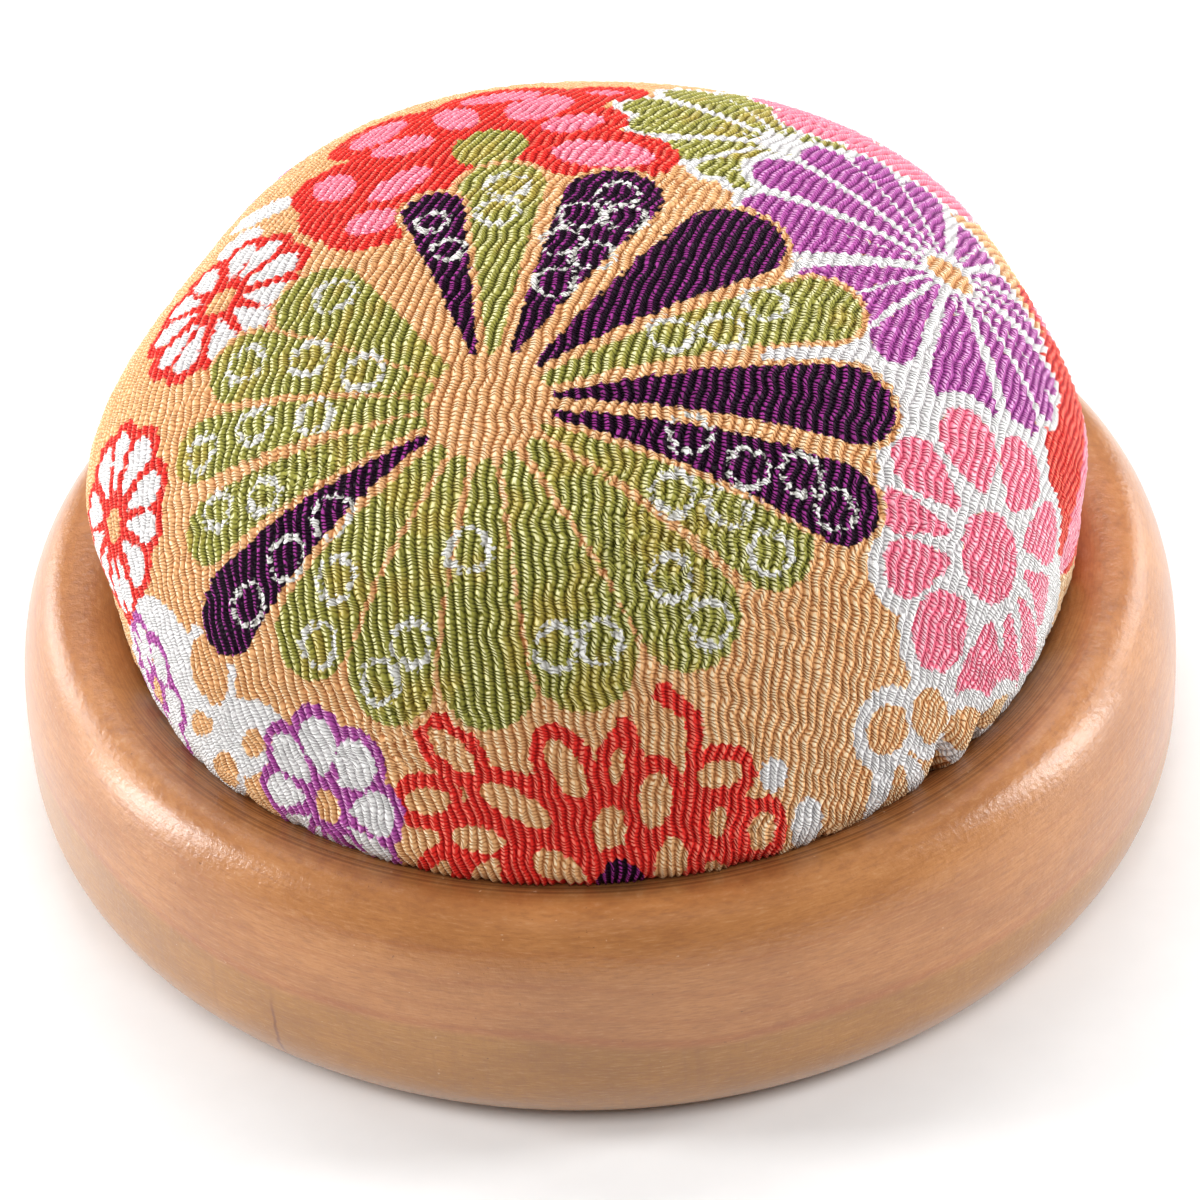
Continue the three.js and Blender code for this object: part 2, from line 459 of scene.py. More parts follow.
def rayed_flower(cloth, centre, angles, reach, dye, line, heart, heart_dye=None, outline="white", start=0.28):
    """A flower with a petal at each angle; reach is a length, or a length for an angle."""
    count = len(angles)
    petals = []
    for i, degrees in enumerate(angles):
        room = (angles[(i + 1) % count] - angles[i - 1]) % 360 / 2
        length = reach(degrees) if callable(reach) else reach
        spread = sine(room / 2)
        petals.append((degrees, length, max(spread * length * 0.92 - line / 2, 0.4), spread))
    inner = start * min(length for _, length, _, _ in petals)
    for degrees, length, tip, _ in petals:
        cloth.petal(outline, polar(centre, degrees, inner), degrees, length - inner + line, line, tip + line)
    cloth.spot(outline, centre, inner + line * 1.6)
    for degrees, length, tip, spread in petals:
        foot = max(spread * inner - line / 2, 0.14)
        cloth.petal(dye, polar(centre, degrees, inner + foot), degrees, length - inner - foot, foot, tip)
    if heart:
        cloth.spot(outline, centre, heart + line * 0.5)
        cloth.spot(heart_dye, centre, heart)


def even(count, turn=0):
    """Angles that share a turn evenly, with a little play."""
    return tuple(turn + 360 * i / count + 3 * math.sin(2.4 * i) for i in range(count))


def camellia(cloth, centre, turn=0):
    """A double flower: pink blushes on red petals, round a green heart; it faces up."""
    blushes = (
        (-8.4, 7.4, 2.7, 2.1, 65), (-2.5, 6.6, 2.8, 1.6, 105), (0.8, 10.7, 3.1, 1.7, 0),
        (3.6, 6.8, 3.1, 2.3, 60), (-6.4, 3.0, 2.4, 1.6, -10), (-11.4, -0.7, 2.5, 1.5, 115),
        (-6.4, -3.1, 2.6, 1.4, 35), (6.0, 2.9, 2.3, 1.5, 20), (7.9, -2.1, 3.7, 1.9, -12),
        (-8.4, -7.4, 1.9, 1.5, 0), (8.5, 9.9, 1.4, 0.9, 0),
    )
    fillers = (
        (-3.5, 1.2, 6.5, 6.0, 0), (-8.0, -4.0, 6.0, 5.5, 0), (1.0, 7.0, 7.5, 6.0, 0), (4.0, 0.5, 4.5, 3.5, 0),
    )
    cloth.spots("red", fillers, centre, turn)
    cloth.spots("red", blushes, centre, turn, grow=1.75)
    cloth.spots("pink", blushes, centre, turn)
    cloth.spot("green", centre, 2.7, 2.8)


def peony(cloth, centre, turn=0):
    """Red petals drawn round ground-coloured cells, with two curls, round an aubergine heart; it faces up."""
    cells = (
        (-12.8, 12.5, 2.3, 1.0, -50), (-16.1, 9.3, 2.1, 1.0, -10), (-8.5, 7.8, 3.3, 1.1, -32),
        (-3.9, 10.0, 2.5, 1.2, -62), (3.3, 7.3, 2.1, 1.4, 85), (0.2, 9.9, 1.4, 0.6, 80),
        (8.7, 9.3, 1.9, 1.0, 10), (8.8, 5.8, 1.1, 0.8, 80), (12.9, 5.4, 1.4, 1.2, 60),
        (-12.4, 5.8, 2.4, 0.9, -15), (-0.7, 5.2, 1.8, 1.4, 80), (4.6, 2.3, 2.4, 1.5, 80),
        (-5.5, 2.9, 2.6, 1.1, -25), (-13.2, 2.3, 2.8, 1.3, 40), (-17.5, 3.5, 2.2, 0.9, 35),
        (10.0, 1.2, 2.6, 1.0, -40), (-9.5, -2.5, 2.6, 1.1, 25),
    )
    curls = ((6.9, 8.6, 98, 5.2), (6.2, 13.4, 146, 3.6), (2.2, 9.6, 112, 4.2), (7.0, 7.0, 100, 4.0))
    cloth.spots("red", ((-7, 4, 9, 6, 0), (7, 3, 8.5, 5.5, 0), (0, -5, 13, 9, 0)), centre, turn)
    cloth.spots("red", cells, centre, turn, grow=1.2)
    for x, y, degrees, length in curls:
        cloth.petal("red", polar(centre, turn, x, y), degrees + turn, length, 0.5, 0.75)
    cloth.spots(None, cells, centre, turn)
    cloth.spot("red", centre, 3.6, 4.2, turn)
    cloth.spot("aubergine", centre, 2.6, 3.2, turn)


def line_flower(cloth, cells, stroke, joins=()):
    """Ground-coloured petals inside a broad white line."""
    cloth.spots("white", cells, grow=stroke)
    cloth.spots("white", joins)
    cloth.spots(None, cells)


def paint_print(x, y):
    """Lays every flower on the cloth, front and back; (0, 0) is the top, -y is the front."""
    cloth = Print(x, y)
    cloth.spots("white", (
        (26, -14.5, 14, 8, 0), (-44, -28, 11.5, 9.5, -20), (-32.5, -35.5, 6.5, 3, -12),
        (-23.4, 10.2, 3.6, 1.6, 150), (-24.8, 6.2, 2.0, 2.4, 30), (13, 12, 5, 6, 0), (-30, 38, 12, 9, 30),
        (34, 30, 9, 12, 0), (14, -45, 1.2, 1.3, 0), (18, -48.5, 1.6, 2.2, 20), (40, -25.5, 10.5, 11, 0),
    ))
    # the back of the dome
    great_chrysanthemum(cloth, (-2, 48), turn=70, scale=0.8)
    rayed_flower(cloth, (-29, 31), even(17, 8), 11.5, "orchid", 0.9, 1.6)
    camellia(cloth, (36, 34), turn=-35)
    peony(cloth, (27, 53), turn=150)
    rayed_flower(cloth, (-47, 14), even(11), 8.5, "pink", 0.8, 1.7)
    rayed_flower(cloth, (50, 15), even(10), 7.0, "white", 0.8, 1.4, outline="red")
    rayed_flower(cloth, (-48, 36), even(9), 7.5, "white", 0.8, 1.4, outline="orchid")
    rayed_flower(cloth, (-27, 51), even(10, 12), 7.0, "white", 0.8, 1.4, outline="red")
    # the right side
    rayed_flower(
        cloth, (15.5, 9.5), even(15, 4),
        lambda a: 13.4 - 5 * max(0, cosine(a - 235)),
        "green", 0.75, 0, start=0.2,
    )
    rayed_flower(cloth, (25.5, 20.5), even(9, 15), 11.5, "pink", 0.3, 2.4, "pink", start=0.2)
    cloth.spot("red", (41.5, -8), 6.5, 11)
    camellia(cloth, (47.5, -3.0), turn=-75)
    cloth.spot("pink", (46.8, -8), 3.6, 10, -4)
    rayed_flower(
        cloth, (26.7, -2.8), even(19, 148),
        lambda a: 12.4 + 2.8 * cosine(a - 190) + 2.2 * cosine(2 * (a - 128)),
        "orchid", 0.8, 0, start=0.3,
    )
    cloth.spot(None, (26.7, -2.8), 2.0, 1.35, -28)
    rayed_flower(
        cloth, (30.7, -25.7), (9, 37, 74, 114, 152, 178, 203, 241, 288, 320, 346),
        lambda a: 10.7 + 2.8 * max(0, cosine(a + 22)),
        "pink", 1.25, 3.3, "pink", start=0.42,
    )
    line_flower(
        cloth,
        ((24.1, -40.4, 2.3, 1.9, 0), (28.6, -38.4, 2.7, 1.9, -20), (34.2, -38.0, 3.0, 1.8, 12),
         (39.2, -35.2, 2.6, 1.6, 40)),
        1.35,
        ((25.2, -45.0, 1.3, 4.0, 10), (30.0, -43.5, 3.4, 1.0, -25)),
    )
    # the top and the left side
    camellia(cloth, (-5.6, 8.7))
    rayed_flower(cloth, (-25.7, -1.3), even(11, 10), 6.4, "white", 0.95, 1.3, outline="red", start=0.34)
    rayed_flower(cloth, (-38.8, -13.5), even(11, 25), 6.9, "white", 0.95, 1.3, outline="red", start=0.34)
    rayed_flower(cloth, (-44.0, -26.0), even(8, 5), 5.8, "white", 0.95, 1.2, outline="orchid", start=0.34)
    line_flower(
        cloth,
        ((-32.1, -30.0, 2.3, 2.6, 0), (-36.9, -32.4, 2.0, 1.0, -20), (-36.8, -36.7, 2.4, 1.5, 0),
         (-30.9, -36.5, 1.6, 1.0, 0)),
        0.9,
    )
    # the front
    peony(cloth, (0.6, -54.5))
    rayed_flower(
        cloth, (-25.5, -43.4), (26, 70, 112, 150, 182, 208, 232, 256, 280, 306, 340),
        6.9, "white", 0.95, 1.3, outline="orchid", start=0.34,
    )
    great_chrysanthemum(cloth, (-6.5, -18.8))
    fields = cloth.fields.reshape(len(DYES), *np.shape(x))
    return dict(zip(DYES, fields), rings=cloth.rings.reshape(np.shape(x)))


# ---- the cushion's cover
RIB_SHIFT = 8.7  # how far to the left the ribs start, before their lean


def rib_drift(a, b):
    """How far a rib has wandered sideways: it leans towards the back, and crumples near the rim."""
    lean_start, lean_end, lean = -38.0, 12.0, 0.012
    t = np.clip(b, lean_start, lean_end) - lean_start
    drift = 0.5 * lean * t * t + lean * (lean_end - lean_start) * np.maximum(b - lean_end, 0)
    wild = 0.65 + 0.45 * smooth(30, 52, np.hypot(a + drift - RIB_SHIFT, b))
    sway = 0.15 * ripple(a * 0.25, b * 1.0, 21) + 0.18 * ripple(a * 0.9, b * 1.9, 22)
    sway = sway + 0.11 * ripple(a * 2.1, b * 3.1, 23)
    # in patches, and most of all at the front right, the ribs kink from side to side
    zigzag = np.arcsin(np.sin(b * 2.6 + 2.2 * ripple(a * 0.28, b * 0.3, 24)))
    kinked = smooth(-0.3, 0.7, ripple(a * 0.18, b * 0.16, 25)) + hump(a, b, (14, -34), 9)
    return drift - RIB_SHIFT + wild * sway + 0.1 * zigzag * np.minimum(kinked, 1.2)


def hump(x, y, centre, spread):
    """1 at a place on the cloth, falling softly to 0 around it."""
    return np.exp(-((x - centre[0]) ** 2 + (y - centre[1]) ** 2) / (2 * spread * spread))


def crease(angle, degrees, width):
    """1 along one direction from the top, falling softly to 0 beside it."""
    away = (angle - math.radians(degrees) + math.pi) % TURN - math.pi
    return np.exp(-((away / width) ** 2))


DENTS = (  # place on the flat cloth, spread, depth
    ((-36, 15), 9.5, 2.2), ((4, 32), 12, 0.7), ((41, 10), 10, 1.1), ((44, -18), 6, 1.0), ((-43, -20), 6, 0.5),
)
FOLDS = (  # bearing in degrees, width in radians, rise, and the lengths where it starts and is full
    (-51.5, 0.022, -1.3, 49, 53),  # the pinch at the front right, with the lesser fold beside it
    (-45, 0.02, -0.7, 50, 53),
    (-48.3, 0.04, 0.25, 48, 51.5),
)
SWELLS = (  # the same, for the slow swells and hollows along the rim
    (-96, 0.75, 1.3, BULGE_AT - 3, CONTACT_AT - 1),
    (-168, 0.3, -0.45, BULGE_AT - 9, BULGE_AT),
)
GATHERS = 23  # half of the small gathers round the rim
GATHER_DEPTH = 0.3


def lumps(x, y, length, angle):
    """Slow unevenness of the stuffed dome, and the pinch where the cloth is caught at the rim."""
    rise = 0.15 * ripple(x * 0.16, y * 0.16, 31) - RIB_HEIGHT
    for centre, spread, depth in DENTS:
        rise = rise - depth * hump(x, y, centre, spread)
    for degrees, width, height, start, full in FOLDS:
        rise = rise + height * crease(angle, degrees, width) * smooth(start, full, length)
    # the sides of the dome are drawn in and its front and back are let out
    settled = smooth(BULGE_AT - 7, BULGE_AT, length) * (1 - smooth(BULGE_AT + 1, CONTACT_AT, length))
    rise = rise - (0.35 + 0.75 * np.cos(2 * angle)) * settled
    for degrees, width, height, start, full in SWELLS:
        rise = rise + height * crease(angle, degrees, width) * smooth(start, full, length)
    gather = np.abs(np.sin(angle * GATHERS + ripple(angle * 6, angle * 3, 33)))
    rise = rise - GATHER_DEPTH * (1 - gather) ** 3 * smooth(51, 55, length)
    return rise * (1 - smooth(DENSE_END + 0.1, DENSE_END + 2, length))  # the neck in the recess is plain


def crumbled(x, y):
    """Where the crepe's ribs break up into grains, from 0 to 1."""
    zones = hump(x, y, (5, 2), 5) + hump(x, y, (9, -29), 5) + hump(x, y, (18, -8), 5)
    return np.clip(zones + smooth(0.45, 1.1, ripple(x * 0.3, y * 0.3, 45)), 0, 1)


def dome_grid():
    """The visible cloth as a grid that follows its ribs: every rib has a valley, flanks and a crest."""
    reach = DENSE_END
    ribs = int(2 * reach / RIB_PITCH)
    rows = int(2 * reach / ROW_STEP) + 3
    rib_number = np.arange(-ribs, ribs)
    a_base = ((rib_number[:, None] + np.array(COLUMN_PHASES)) * RIB_PITCH).ravel()
    rib_id = np.repeat(rib_number, len(COLUMN_PHASES))[:, None]
    row = np.arange(rows)[None]
    a = np.repeat(a_base[:, None], rows, 1)
    b = np.repeat((row - rows // 2) * ROW_STEP, len(a_base), 0).astype(float)
    b = b + 0.05 * ripple(a * 2.0, b * 3.0, 41)
    x = a + rib_drift(a, b)
    y = b  # the drift is only sideways
    length, angle = np.hypot(x, y), np.arctan2(y, x)
    crest = np.tile(COLUMN_RELIEF, len(rib_number))[:, None]
    grain = crumbled(x, y)
    # the threads of a rib stand up unevenly, and where the ribs break up the grains are loose
    uneven = scatter(rib_id + 0.5, row // 2, 7) - 0.5 + 0.5 * ripple(a * 3.0, b * 2.4, 44)
    loose = scatter(np.arange(len(a_base))[:, None], row, 8) - 0.5
    relief = crest * (1 - 0.4 * grain + 0.3 * uneven) + 0.2 * grain + 0.9 * grain * loose
    fade = 1 - smooth(reach - 2.5, reach - 0.3, length)
    vigour = (0.9 + 0.2 * ripple(a * 0.3, b * 0.3, 42)) * fade
    height = RIB_HEIGHT * relief * vigour + lumps(x, y, length, angle)
    return x, y, length, angle, length <= reach, np.stack([a, b, relief], -1), height


def kept_cells(inside):
    """Grid cells with all four corners inside, as index quads into the grid, facing out."""
    rows = inside.shape[1]
    whole = inside[:-1, :-1] & inside[1:, :-1] & inside[:-1, 1:] & inside[1:, 1:]
    i, j = np.nonzero(whole)
    start = i * rows + j
    return np.stack([start, start + rows, start + rows + 1, start + 1], 1)


def boundary_loop(quads):
    """The grid's outer edge as one closed walk of vertex numbers."""
    edges = np.concatenate([quads[:, [k, (k + 1) % 4]] for k in range(4)])
    key = edges.min(1).astype(np.int64) * (edges.max() + 1) + edges.max(1)
    _, first, count = np.unique(key, return_index=True, return_counts=True)
    border = edges[first[count == 1]]
    following = dict(border.tolist())
    start = int(border[0, 0])
    loop, current = [start], following[start]
    while current != start:
        loop.append(current)
        current = following[current]
    return np.array(loop)


def place(length, angle, height):
    """Points on the cushion's outside, raised by height along its normal."""
    radius, level, out, up = OUTLINE.at(length)
    radius = radius + height * out
    return np.stack([radius * np.cos(angle), radius * np.sin(angle), level + height * up], -1)


def lip_height(radius):
    """How high the dish's inner lip is at a radius."""
    crest = DISH_RADIUS - RIM_HALF_WIDTH
    t = np.clip((crest - radius) / (crest - SEAT_RADIUS), 0, 1)
    return CREST_HEIGHT - LIP_DROP + LIP_DROP * np.sqrt(1 - t * t)


LIP_CLEARANCE = 0.04  # between the cloth and the wood that it rests on


def rest_on_lip(points):
    """Lifts the cloth onto the dish's lip wherever it would sink into the wood."""
    radius = np.hypot(points[:, 0], points[:, 1])
    over = (radius > SEAT_RADIUS) & (points[:, 2] > CREST_HEIGHT - LIP_DROP - 1)
    raised = np.maximum(points[:, 2], lip_height(radius) + LIP_CLEARANCE)
    points[:, 2] = np.where(over, raised, points[:, 2])
    return points


PLEATS, PLEAT_DEPTH = 30, 0.22  # of the drawn cloth round the mouth


def build_cover():
    """The whole cover: the ribbed dome, the plain neck and drawn underside, and the inside face."""
    x, y, length, angle, inside, weave, height = dome_grid()
    quads = kept_cells(inside)
    loop = boundary_loop(quads)
    length.ravel()[loop] = DENSE_END
    used = np.unique(quads)
    renumber = np.full(inside.size, -1)
    renumber[used] = np.arange(len(used))
    quads = renumber[quads]
    loop = renumber[loop]
    length, angle, height = (f.ravel()[used] for f in (length, angle, height))
    points = [rest_on_lip(place(length, angle, height))]
    flat = [np.stack([length * np.cos(angle), length * np.sin(angle)], 1)]
    weaves = [weave.reshape(-1, 3)[used]]
    dome_count = count = len(used)

    segments = 120  # of the plain rings
    turn = around(segments) - math.pi
    loop = np.roll(loop, -np.argmin(angle[loop]))
    faces = quads.tolist()
    previous, previous_turn = loop, angle[loop]

    def add_ring(s, height):
        """One plain ring at a length along the outline, joined to the ring before it."""
        nonlocal previous, previous_turn, count
        points.append(place(np.full(segments, s), turn, height))
        flat.append(np.stack([s * np.cos(turn), s * np.sin(turn)], 1))
        weaves.append(np.concatenate([flat[-1], np.full((segments, 1), 0.5)], 1))
        ring = np.arange(count, count + segments)
        faces.extend(zip_loops(previous, ring, previous_turn, turn))
        previous, previous_turn = ring, turn
        count += segments

    mouth = OUTLINE.length[-1]
    below = [s for s in OUTLINE.length if s > DENSE_END + 0.8]
    for s in below[::3] + [mouth]:
        drawn = smooth(UNDER_AT, mouth, np.full(segments, s))
        add_ring(s, PLEAT_DEPTH * drawn * (np.cos(turn * PLEATS) - 1))
    outside_count = count
    for s in [s for s in OUTLINE.length[::-1] if s > 2.0][::14]:  # back up the inside face
        add_ring(s, lumps(s * np.cos(turn), s * np.sin(turn), np.full(segments, s), turn) - CLOTH)
    points.append(place(np.zeros(1), np.zeros(1), np.full(1, -CLOTH - RIB_HEIGHT)))
    flat.append(np.zeros((1, 2)))
    weaves.append(np.full((1, 3), 0.5))
    faces += [(int(previous[i]), int(previous[(i + 1) % segments]), count)[::-1] for i in range(segments)]
    points, flat, weaves = (np.concatenate(p) for p in (points, flat, weaves))
    return points, flat, weaves, faces, dome_count, outside_count


def bake_layout(piece, flat, dome_count, outside_count):
    """Flat UVs: the dome as one large disc, the underside and the inside as small discs in two corners."""
    mesh = piece.data
    layer = mesh.uv_layers.new(name="OFBake")
    corners = np.empty(len(mesh.loops), int)
    mesh.loops.foreach_get("vertex_index", corners)
    starts = np.empty(len(mesh.polygons), int)
    totals = np.empty(len(mesh.polygons), int)
    mesh.polygons.foreach_get("loop_start", starts)
    mesh.polygons.foreach_get("loop_total", totals)
    highest = np.maximum.reduceat(corners, starts)
    part = np.repeat(np.where(highest < dome_count, 0, np.where(highest < outside_count, 1, 2)), totals)
    length = np.hypot(*flat[corners].T)
    direction = flat[corners] / np.maximum(length, 1e-6)[:, None]
    total = OUTLINE.length[-1]
    large, small = 0.47, 0.088  # the discs' radii
    below = (length - DENSE_END) / (total - DENSE_END)
    shrink = np.select(
        [part == 0, part == 1],
        [large * length / DENSE_END, small * (1.12 - 0.8 * below)],
        small * length / total,
    )
    centre = np.select([part[:, None] == 0, part[:, None] == 1], [[0.5, 0.5], [0.1, 0.1]], [0.9, 0.9])
    layer.data.foreach_set("uv", (centre + direction * shrink[:, None]).ravel())


def add_field(mesh, name, values):
    kind = "FLOAT" if values.ndim == 1 else "FLOAT_VECTOR"
    attribute = mesh.attributes.new(name, kind, "POINT")
    key = "value" if values.ndim == 1 else "vector"
    attribute.data.foreach_set(key, values.astype(np.float32).ravel())


def cushion_cover():
    points, flat, weave, faces, dome_count, outside_count = build_cover()
    piece = mesh_object("printed_cover", points, faces)
    bake_layout(piece, flat, dome_count, outside_count)
    fields = paint_print(flat[:, 0], flat[:, 1])
    add_field(piece.data, "dye_a", np.stack([fields[d] for d in DYES[:3]], 1))
    add_field(piece.data, "dye_b", np.stack([fields[d] for d in DYES[3:]], 1))
    add_field(piece.data, "rings", fields["rings"])
    add_field(piece.data, "weave", weave)
    piece.data.materials.append(crepe_material())
    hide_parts("cushion_cover")


def crepe_material():
    """Silky crepe: dyes from the print's distances, with painted shade in the ribs' valleys and in the gaps
    between threads, and painted glints on the threads.
    """
    m = Nodes("printed_crepe")
    a, b, relief = m.split(m.attribute("weave").outputs["Vector"])
    flat = m.node("ShaderNodeCombineXYZ", {0: a, 1: b}).outputs[0]
    ragged = m.ramp(m.noise(flat, 1.7, 2.0), 0.25, 0.75, -0.2, 0.2)
    broken = m.ramp(m.noise(flat, 2.4, 1.0), 0.3, 0.7, -0.2, 0.24)
    dye_a = m.split(m.attribute("dye_a").outputs["Vector"])
    dye_b = m.split(m.attribute("dye_b").outputs["Vector"])
    shapes = dict(zip(DYES, (*dye_a, *dye_b)), rings=m.attribute("rings").outputs["Fac"])
    cloudy = m.ramp(m.noise(flat, 0.14, 2.0), 0.3, 0.7)

    # each rib is a twisted yarn: short slanted threads across it, out of step with the next rib's;
    # side runs from 0 to 1 across a rib, and own_step is random for each rib
    across = m.math("DIVIDE", a, RIB_PITCH)
    side = m.math("FRACT", across)
    rib = m.math("FLOOR", across)
    own_step = m.node("ShaderNodeTexWhiteNoise", {1: rib}, noise_dimensions="1D").outputs[0]
    slip = m.ramp(m.noise(flat, 0.9, 2.0), 0.2, 0.8, -0.9, 0.9)
    turn = m.plus(m.math("DIVIDE", b, TWIST_PITCH), m.plus(own_step, slip))
    turn = m.plus(turn, m.times(side, 1.4))
    away = m.math("ABSOLUTE", m.minus(m.math("FRACT", turn), 0.5))
    gap = m.times(m.times(away, away), 4.0)
    twist = m.minus(1.0, gap)
    # one flank shows its threads like the teeth of a comb, the other is calmer; the gaps between threads are
    # bumped, and also painted darker as shade
    calm = m.times(m.ramp(side, 0.42, 0.6, 0.0, 0.35), m.ramp(side, 1.0, 0.82))
    gap = m.times(gap, m.minus(1.0, calm))
    fine = m.noise(m.stretch(flat, (5.0, 11.0, 1.0)), 1.0, 3.0, 0.65)
    thread = m.times(m.minus(1.0, gap), 0.95)
    thread = m.plus(thread, m.times(fine, 0.35))
    # painted shade: depth sets how far the colour goes from the dark valley colour to the crest colour,
    # darkest in rib valleys and thread gaps
    depth = m.times(m.plus(relief, 0.24), m.plus(thread, 0.05))
    crest = m.ramp(depth, 0.0, 1.05)
    # a painted highlight: a bright glint colour on the threads near one side of each rib's crest, in patches
    aside = m.math("ABSOLUTE", m.minus(side, 0.4))
    painted_glint_mask = m.times(m.ramp(aside, 0.26, 0.08), m.ramp(twist, 0.45, 0.9))
    painted_glint_mask = m.times(painted_glint_mask, m.ramp(m.noise(flat, 0.5, 3.0), 0.35, 0.65, 0.6, 1.0))

    def dye_with_painted_light(valley, ridge, painted_glint):
        """A dye's colour, with painted shade in a rib's valley and the gaps between its threads, and a
        painted glint on its shining threads.
        """
        colour = m.mix(crest, srgb(*valley), srgb(*ridge))
        return m.mix(m.times(painted_glint_mask, 0.95), colour, srgb(*painted_glint))

    # the ground's valley colours are painted shade and its glint colours are painted highlights, as for every
    # dye below
    colour = m.mix(cloudy, dye_with_painted_light((168, 94, 44), (236, 178, 120), (255, 234, 194)),
                   dye_with_painted_light((180, 108, 56), (242, 188, 132), (255, 238, 204)))
    # the green runs to mustard in patches, and by whole ribs
    patchy = m.plus(m.noise(flat, 0.22, 3.0), m.times(own_step, 0.16))
    mustard = m.ramp(patchy, 0.56, 0.72, 0.0, 0.6)
    # per dye: edge noise, valley colour (painted shade), ridge colour, glint colour (painted highlight)
    for name, edge, valley, ridge, painted_glint in (
        ("white", ragged, (184, 178, 180), (242, 240, 238), (255, 254, 252)),
        ("green", ragged, (54, 52, 2), (164, 160, 72), (255, 250, 196)),
        ("pink", ragged, (206, 60, 94), (254, 140, 162), (255, 212, 222)),
        ("red", ragged, (156, 4, 8), (240, 50, 42), (255, 142, 120)),
        ("orchid", ragged, (100, 20, 92), (184, 84, 166), (240, 178, 226)),
        ("aubergine", ragged, (6, 0, 7), (32, 0, 29), (176, 60, 156)),
        ("rings", broken, (160, 156, 146), (236, 234, 228), (255, 255, 252)),
    ):
        inside = m.ramp(m.plus(shapes[name], edge), 0.08, -0.08)
        dye = dye_with_painted_light(valley, ridge, painted_glint)
        if name == "green":
            dye = m.mix(mustard, dye, dye_with_painted_light((104, 78, 10), (190, 162, 70), (255, 236, 160)))
        colour = m.mix(inside, colour, dye)
    m.set(Base_Color=colour, Roughness=m.ramp(fine, 0.2, 0.8, 0.38, 0.55),
          Normal=m.bump(thread, 1.0, 2.8 * TWIST_HEIGHT), Specular_IOR_Level=0.1)
    return m.material


# ---- the turned dish
def dish_outline():
    crest = DISH_RADIUS - RIM_HALF_WIDTH
    foot = quarter((DISH_RADIUS - FOOT_ROUND, WIDEST_HEIGHT), FOOT_ROUND, -WIDEST_HEIGHT, 2, 14)[::-1]
    shoulder = quarter((crest, WIDEST_HEIGHT), RIM_HALF_WIDTH, CREST_HEIGHT - WIDEST_HEIGHT, RIM_POWER, 40)
    lip = quarter((crest, CREST_HEIGHT - LIP_DROP), SEAT_RADIUS - crest, LIP_DROP, 2, 18)[::-1]
    wall = [(SEAT_RADIUS, z) for z in np.linspace(CREST_HEIGHT - LIP_DROP, FLOOR_HEIGHT + 1.2, 6)[1:]]
    corner = bezier((SEAT_RADIUS, FLOOR_HEIGHT + 1.2), (SEAT_RADIUS, FLOOR_HEIGHT + 0.4),
                    (SEAT_RADIUS - 0.4, FLOOR_HEIGHT), (SEAT_RADIUS - 1.2, FLOOR_HEIGHT), 4)
    underside = [(r, 0) for r in (0, 12, 24, 34)]
    floor = [(24, FLOOR_HEIGHT), (12, FLOOR_HEIGHT), (0, FLOOR_HEIGHT)]
    return np.concatenate([underside, foot, shoulder[1:], lip[1:], wall, corner, floor])


def wood_dish():
    vertices, faces = lathe(dish_outline(), 288)
    piece = mesh_object("turned_dish", vertices, faces)
    piece.data.materials.append(wood_material())
    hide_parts("wood_base")


